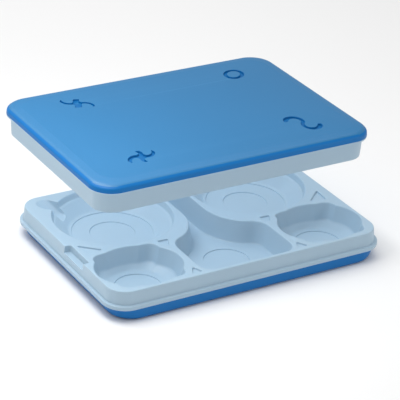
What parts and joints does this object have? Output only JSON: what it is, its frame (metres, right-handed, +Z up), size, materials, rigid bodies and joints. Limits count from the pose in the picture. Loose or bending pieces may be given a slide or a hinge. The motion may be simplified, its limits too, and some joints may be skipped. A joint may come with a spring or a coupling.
{
  "type": "insulated meal tray with lid",
  "caption": "Insulated compartment meal tray: moulded liner with plate wells and bowls, outer shell, and a lift-off insulated lid held above it.",
  "frame": {"origin": "middle of the base's underside, on the surface that the tray stands on; the lid is held above and behind it", "axes": "+X along the long side, with the bowls at -Y and the plate wells at +Y; +Z up"},
  "size_m": [0.53, 0.4277, 0.2235],
  "materials": {
    "shell": "satin blue plastic",
    "liner": "satin pale blue plastic",
    "cover": "satin blue plastic"
  },
  "bodies": {
    "tray": {"base_shell": "shell", "base_liner": "liner"},
    "lid": {"lid_liner": "liner", "lid_cover": "cover"}
  },
  "joints": [
    {"name": "lid_lift", "type": "slide", "parent": "tray", "child": "lid", "axis": [0, 0.4599, 0.888], "range_m": [-0.1261, 0]}
  ]
}
